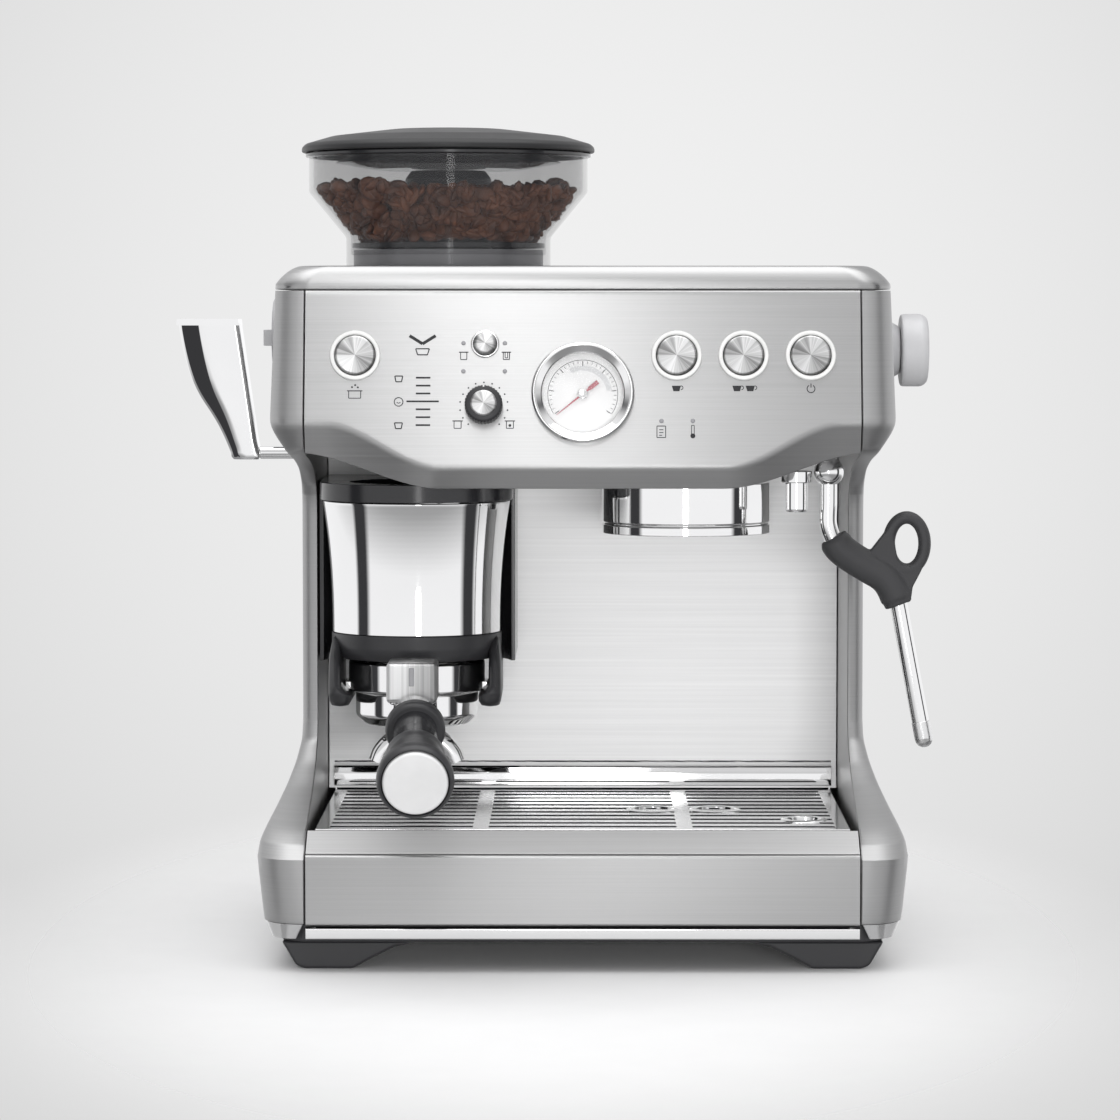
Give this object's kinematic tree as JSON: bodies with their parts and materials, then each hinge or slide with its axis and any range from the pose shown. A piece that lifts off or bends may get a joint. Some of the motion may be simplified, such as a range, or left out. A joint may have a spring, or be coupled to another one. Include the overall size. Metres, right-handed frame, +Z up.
{
  "type": "espresso machine",
  "caption": "Countertop espresso machine with built-in grinder, bean hopper, lever tamper, pressure gauge, steam wand, drip tray and rear water tank.",
  "frame": {"origin": "on the counter, under the middle of the whole machine's box", "axes": "+X to the machine's right as seen from the front, +Y to the back, +Z up"},
  "size_m": [0.3784, 0.4004, 0.414],
  "materials": {
    "brushed_steel": "horizontal brushed",
    "polished_wall": "polished",
    "chrome": "mirror polished",
    "button_metal": "spun brushed",
    "ring_white": "satin, translucent",
    "black_plastic": "satin",
    "black_rubber": "matte",
    "grey_plastic": "satin",
    "needle_red": "satin",
    "clear_glass": "clear",
    "smoked_plastic": "smoked clear",
    "motor_metal": "satin",
    "burr_steel": "ground",
    "copper": "cast, warm",
    "board_green": "satin"
  },
  "bodies": {
    "housing": {"back_wall": "polished_wall", "base_pan": "black_plastic", "control_board": "board_green", "cord_gland": "black_plastic", "cradle": "black_plastic", "dosing_shroud": "chrome", "foot_front_left": "black_rubber", "foot_front_right": "black_rubber", "foot_rear_left": "black_rubber", "foot_rear_right": "black_rubber", "front_panel": "brushed_steel", "gauge_bezel": "chrome", "gauge_body": "ring_white", "gauge_lens": "clear_glass", "grinder_motor": "motor_metal", "group_head": "chrome", "head_underside": "brushed_steel", "heater": "copper", "hopper_collar": "grey_plastic", "hot_water_spout": "chrome", "pump": "motor_metal", "rear_panel": "black_plastic", "ring_dose": "ring_white", "ring_one_cup": "ring_white", "ring_power": "ring_white", "ring_two_cup": "ring_white", "shower_screen": "chrome", "side_panel_left": "brushed_steel", "side_panel_right": "brushed_steel", "steam_escutcheon": "black_plastic", "top_cap": "brushed_steel", "tower_cover": "black_plastic"},
    "press_dose": {"button_dose": "button_metal"},
    "press_one_cup": {"button_one_cup": "button_metal"},
    "press_two_cup": {"button_two_cup": "button_metal"},
    "press_power": {"button_power": "button_metal"},
    "press_filter": {"button_filter": "chrome"},
    "dose_knob": {"dose_dial": "black_plastic"},
    "needle": {"gauge_needle": "needle_red"},
    "steam_knob": {"steam_dial": "grey_plastic"},
    "grind_knob": {"grind_dial": "grey_plastic"},
    "lever": {"tamp_lever": "chrome"},
    "tamp_piston": {"tamper": "chrome"},
    "wand": {"steam_wand": "chrome", "wand_grip": "black_rubber"},
    "bean_hopper": {"hopper": "smoked_plastic", "hopper_lock": "black_plastic"},
    "bean_lid": {"hopper_lid": "black_plastic"},
    "filter_holder": {"portafilter": "chrome", "portafilter_handle": "black_plastic", "handle_cap": "button_metal", "portafilter_spout": "chrome", "filter_basket": "chrome"},
    "tray": {"drip_tray": "black_plastic", "tray_front": "brushed_steel"},
    "grate": {"drip_grate": "polished_wall"},
    "float": {"tray_float": "needle_red"},
    "tank": {"water_tank": "smoked_plastic"},
    "tank_cover": {"tank_lid": "black_plastic"},
    "burr": {"burr_lower": "burr_steel"}
  },
  "joints": [
    {"name": "dose_button_travel", "type": "slide", "parent": "housing", "child": "press_dose", "axis": [0, 0.9786, -0.2058], "range_m": [0, 0.0015], "stiffness_N_per_m": 600, "springref_m": -0.0015},
    {"name": "one_cup_button_travel", "type": "slide", "parent": "housing", "child": "press_one_cup", "axis": [0, 0.9786, -0.2058], "range_m": [0, 0.0015], "stiffness_N_per_m": 600, "springref_m": -0.0015},
    {"name": "two_cup_button_travel", "type": "slide", "parent": "housing", "child": "press_two_cup", "axis": [0, 0.9786, -0.2058], "range_m": [0, 0.0015], "stiffness_N_per_m": 600, "springref_m": -0.0015},
    {"name": "power_button_travel", "type": "slide", "parent": "housing", "child": "press_power", "axis": [0, 0.9786, -0.2058], "range_m": [0, 0.0015], "stiffness_N_per_m": 600, "springref_m": -0.0015},
    {"name": "filter_button_travel", "type": "slide", "parent": "housing", "child": "press_filter", "axis": [0, 0.9786, -0.2058], "range_m": [0, 0.0015], "stiffness_N_per_m": 400, "springref_m": -0.0015},
    {"name": "dose_dial_turn", "type": "hinge", "parent": "housing", "child": "dose_knob", "pos_m": [-0.03291, -0.12165, 0.2743], "axis": [0, -0.9786, 0.2058], "range_deg": [-135, 135]},
    {"name": "gauge_needle_turn", "type": "hinge", "parent": "housing", "child": "needle", "pos_m": [0.01479, -0.12024, 0.281], "axis": [0, -0.9786, 0.2058], "range_deg": [-255, 0], "stiffness_Nm_per_rad": 0.00002, "springref_deg": 17.19},
    {"name": "steam_dial_turn", "type": "hinge", "parent": "housing", "child": "steam_knob", "pos_m": [0.18179, -0.01781, 0.3006], "axis": [1, 0, 0], "range_deg": [-90, 90]},
    {"name": "grind_dial_turn", "type": "hinge", "parent": "housing", "child": "grind_knob", "pos_m": [-0.14121, -0.01781, 0.307], "axis": [-1, 0, 0], "range_deg": [-120, 120]},
    {"name": "lever_swing", "type": "hinge", "parent": "housing", "child": "lever", "pos_m": [-0.14521, -0.02781, 0.249], "axis": [1, 0, 0], "range_deg": [0, 70], "stiffness_Nm_per_rad": 0.4, "springref_deg": -57.3},
    {"name": "tamper_travel", "type": "slide", "parent": "housing", "child": "tamp_piston", "axis": [0, 0, -1], "range_m": [0, 0.02]},
    {"name": "wand_swivel", "type": "hinge", "parent": "housing", "child": "wand", "pos_m": [0.13659, -0.06781, 0.241], "axis": [0, 0, 1], "range_deg": [-70, 15]},
    {"name": "hopper_lift", "type": "slide", "parent": "housing", "child": "bean_hopper", "axis": [0, 0, 1], "range_m": [0, 0.05]},
    {"name": "hopper_lid_lift", "type": "slide", "parent": "bean_hopper", "child": "bean_lid", "axis": [0, 0, 1], "range_m": [0, 0.05]},
    {"name": "portafilter_slide", "type": "slide", "parent": "housing", "child": "filter_holder", "axis": [0, -1, 0], "range_m": [0, 0.13]},
    {"name": "tray_slide", "type": "slide", "parent": "housing", "child": "tray", "axis": [0, -1, 0], "range_m": [0, 0.12]},
    {"name": "grate_lift", "type": "slide", "parent": "tray", "child": "grate", "axis": [0, 0, 1], "range_m": [0, 0.02]},
    {"name": "float_rise", "type": "slide", "parent": "tray", "child": "float", "axis": [0, 0, 1], "range_m": [0, 0.008]},
    {"name": "tank_lift", "type": "slide", "parent": "housing", "child": "tank", "axis": [0, 0, 1], "range_m": [0, 0.1]},
    {"name": "tank_lid_swing", "type": "hinge", "parent": "tank", "child": "tank_cover", "pos_m": [0.01479, 0.13469, 0.3163], "axis": [1, 0, 0], "range_deg": [0, 90]},
    {"name": "burr_spin", "type": "hinge", "parent": "housing", "child": "burr", "pos_m": [-0.05421, 0.01219, 0.3], "axis": [0, 0, 1], "continuous": true}
  ],
  "couplings": [
    {"joint": "tamper_travel", "follows": "lever_swing", "m_per_rad": 0.016}
  ]
}
